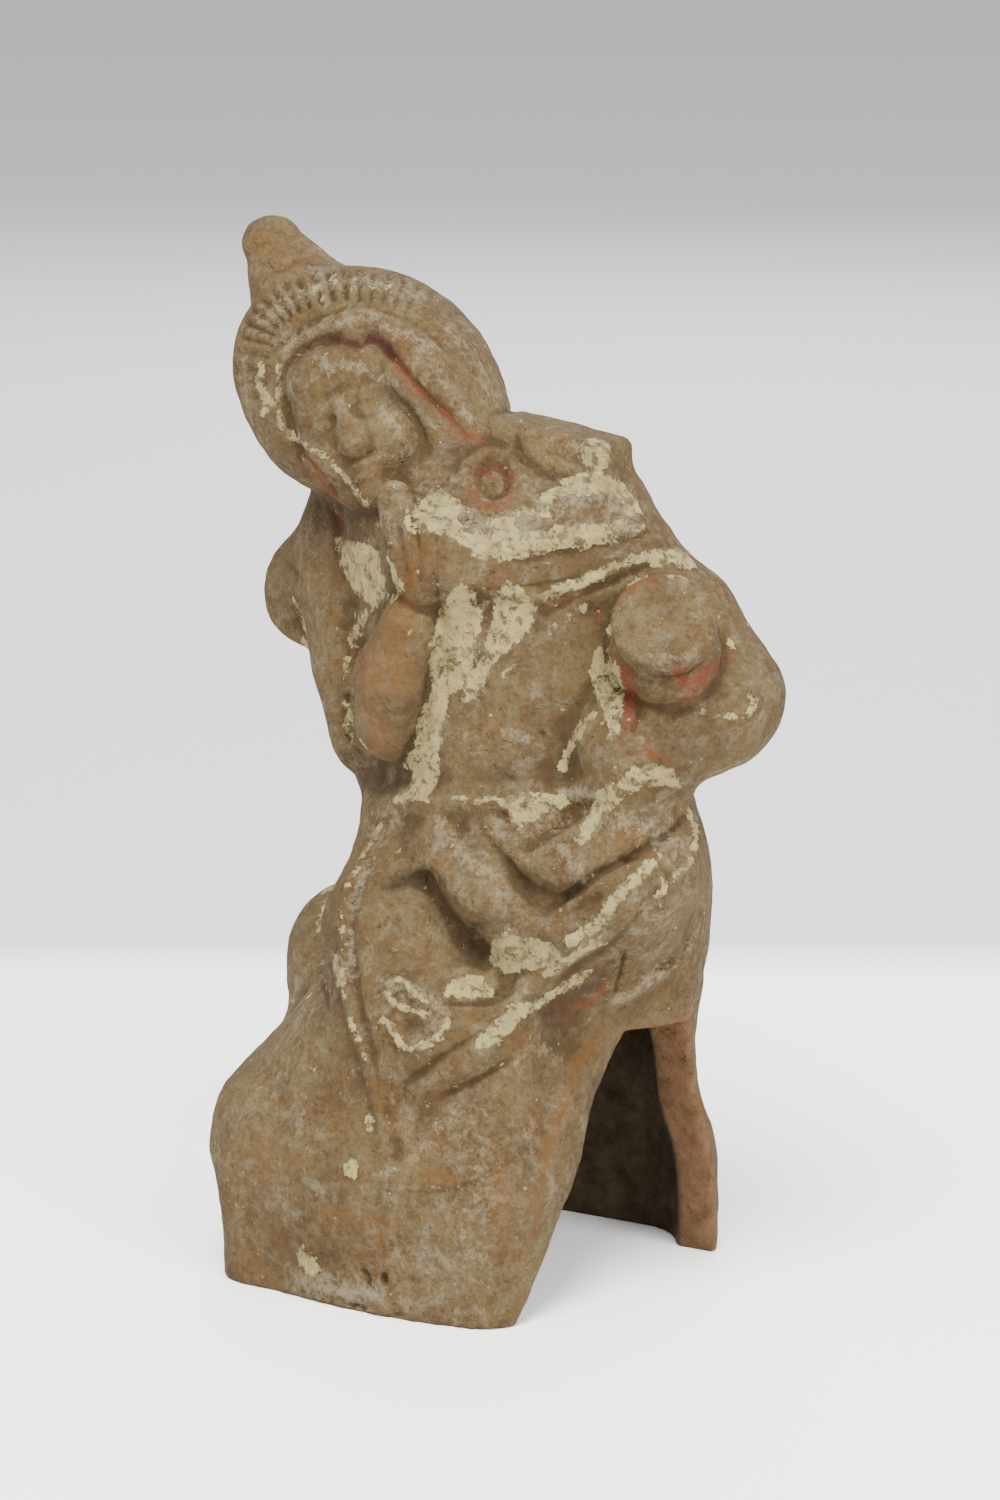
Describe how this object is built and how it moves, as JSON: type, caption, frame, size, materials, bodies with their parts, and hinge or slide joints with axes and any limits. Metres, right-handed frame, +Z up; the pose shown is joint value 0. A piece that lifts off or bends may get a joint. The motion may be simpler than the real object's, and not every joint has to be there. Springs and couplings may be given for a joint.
{
  "type": "roman figurine",
  "caption": "Hollow moulded terracotta figurine of a leaning, wreathed figure with a hand at its chin and a small pot under one arm, on a draped block base.",
  "frame": {"origin": "centre of the bounding box in plan, on the surface that the base stands on", "axes": "+Z up, -Y towards the front, +X towards the figure's own left side, where the pot and the open seam are"},
  "size_m": [0.083, 0.0588, 0.1392],
  "materials": {
    "terracotta": "matte, porous, unglazed, with remains of a pale coat"
  },
  "bodies": {
    "root": {"figurine": "terracotta"}
  },
  "joints": []
}
